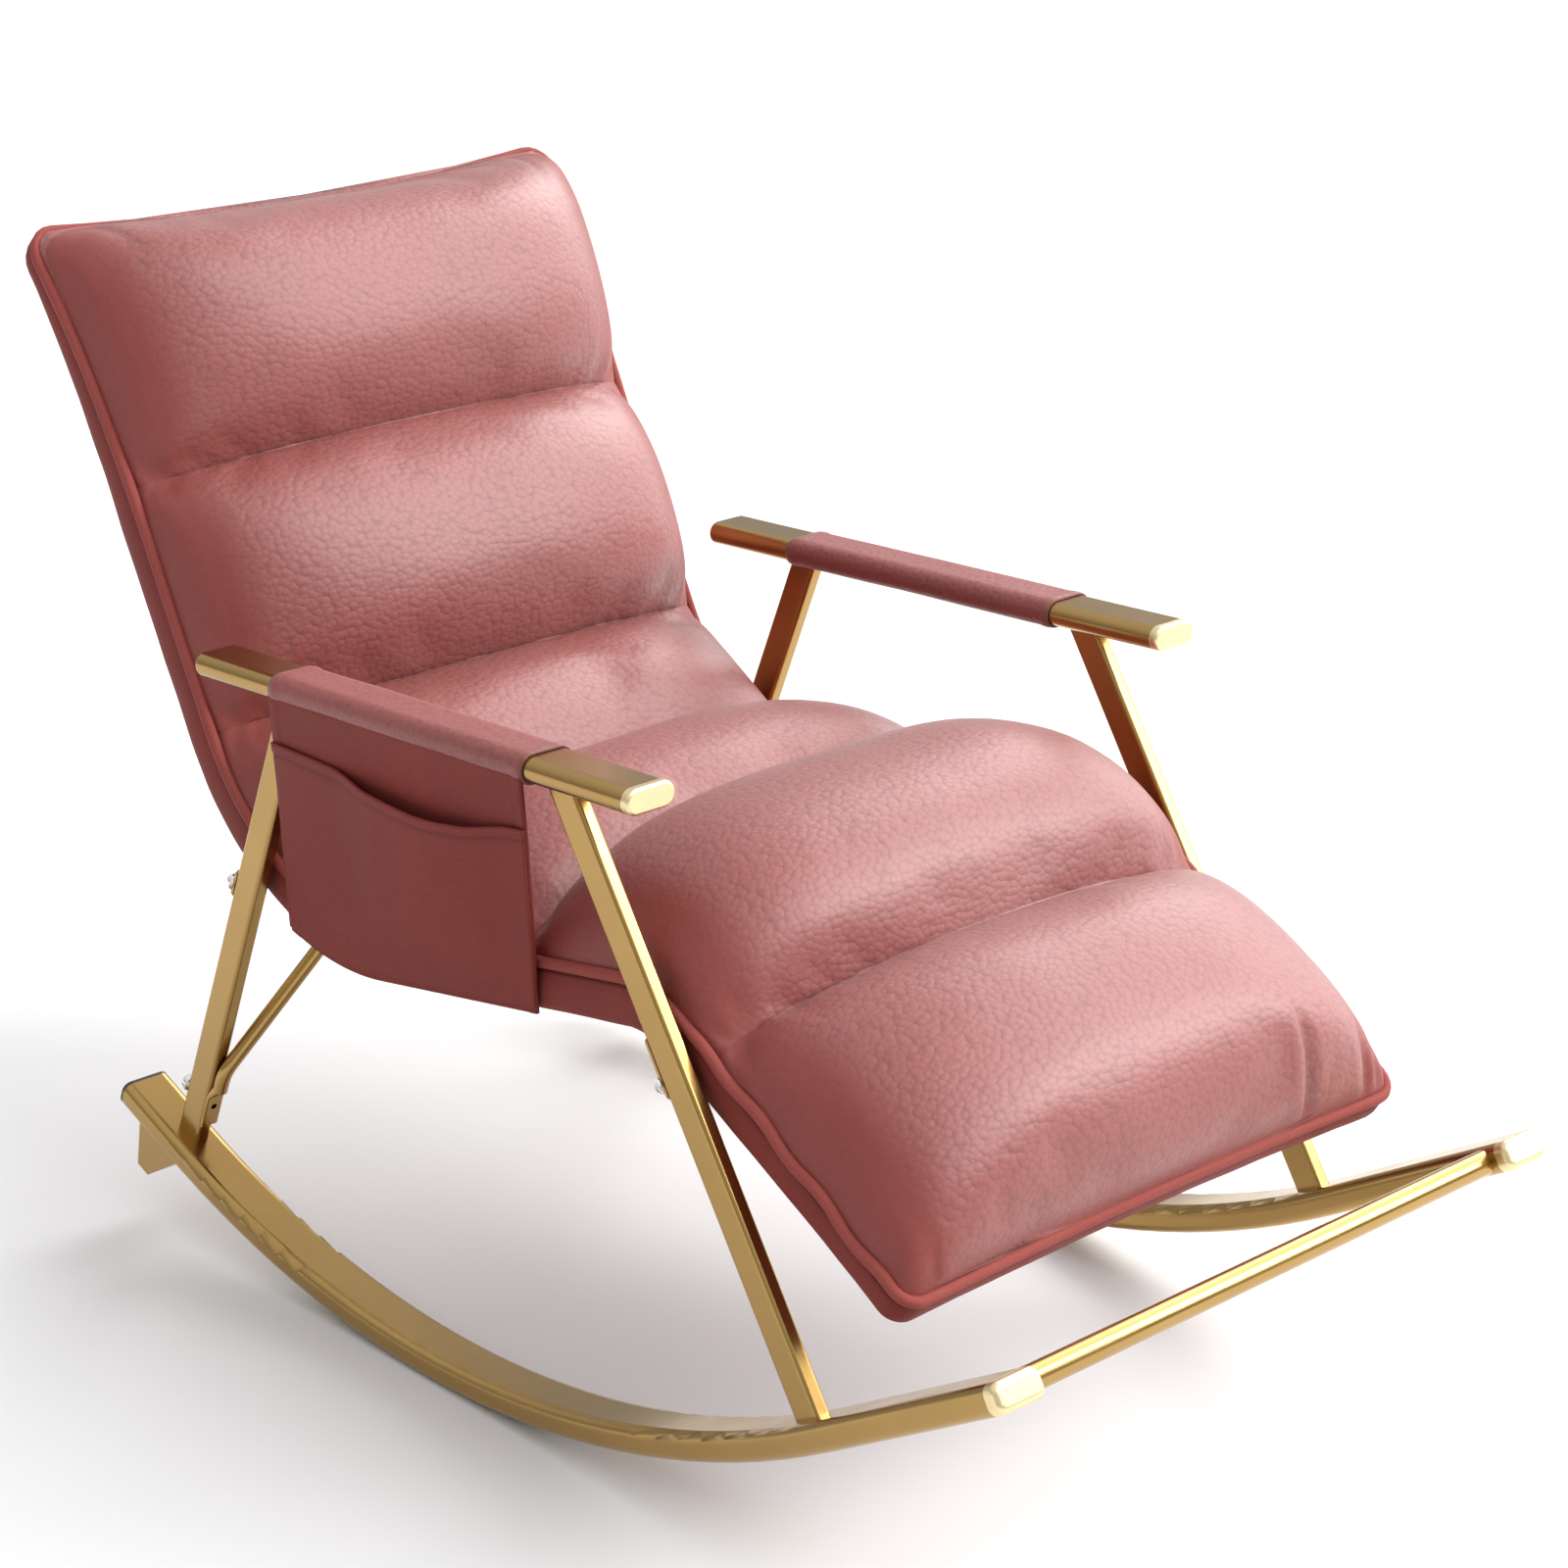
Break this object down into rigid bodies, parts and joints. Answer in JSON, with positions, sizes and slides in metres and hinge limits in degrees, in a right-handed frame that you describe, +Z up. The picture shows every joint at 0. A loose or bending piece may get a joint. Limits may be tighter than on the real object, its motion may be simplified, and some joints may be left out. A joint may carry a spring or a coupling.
{
  "type": "rocking lounge chair",
  "caption": "Rocking lounge chair: a long bent seat with a channelled pink cushion, on flat gold tube legs, armrests and curved runners, with a side pocket.",
  "frame": {"origin": "bottom centre of the whole chair's box, on the floor", "axes": "+Z up; the sitter faces -Y, so the foot end and the crossbar are at -Y and the head end is at +Y; the sitter's right side, with the pocket, is at -X"},
  "size_m": [0.6546, 1.2722, 0.9239],
  "materials": {
    "gold_paint": "satin gold paint on steel tube",
    "black_steel": "black painted steel, hidden inside the seat",
    "pale_cap": "pale gold plastic",
    "dark_cap": "dark brown plastic",
    "sleeve_leather": "pebbled wine-pink leather",
    "pocket_leather": "smooth wine-pink leather",
    "shell_leather": "smooth dark wine-pink leather",
    "welt_leather": "pale pink leather welt",
    "cushion_cloth": null,
    "strap_elastic": "woven elastic",
    "deck_cloth": "dark cloth",
    "bolt_chrome": "bright plated steel"
  },
  "bodies": {
    "root": {"runner_left": "gold_paint", "runner_right": "gold_paint", "front_leg_left": "gold_paint", "front_leg_right": "gold_paint", "rear_leg_left": "gold_paint", "rear_leg_right": "gold_paint", "armrest_tube_left": "gold_paint", "armrest_tube_right": "gold_paint", "rock_stop_left": "gold_paint", "rock_stop_right": "gold_paint", "front_crossbar": "gold_paint", "rear_brace": "gold_paint", "front_carrier": "gold_paint", "rear_carrier": "gold_paint", "seat_rail_left": "black_steel", "seat_rail_right": "black_steel", "head_cross_tube": "black_steel", "back_cross_tube": "black_steel", "foot_cross_tube": "black_steel", "leg_nuts": "black_steel", "armrest_front_cap_left": "pale_cap", "armrest_front_cap_right": "pale_cap", "armrest_rear_cap_left": "pale_cap", "armrest_rear_cap_right": "pale_cap", "runner_front_cap_left": "pale_cap", "runner_front_cap_right": "pale_cap", "runner_rear_cap_left": "dark_cap", "runner_rear_cap_right": "dark_cap", "arm_sleeve_left": "sleeve_leather", "arm_sleeve_right": "sleeve_leather", "pocket_panel": "pocket_leather", "pocket_pouch": "pocket_leather", "seat_shell": "shell_leather", "seat_welt": "welt_leather", "head_cushion": "cushion_cloth", "back_cushion": "cushion_cloth", "waist_cushion": "cushion_cloth", "seat_cushion": "cushion_cloth", "thigh_cushion": "cushion_cloth", "calf_cushion": "cushion_cloth", "webbing_straps": "strap_elastic", "seat_deck": "deck_cloth", "frame_bolts": "bolt_chrome"}
  },
  "joints": []
}
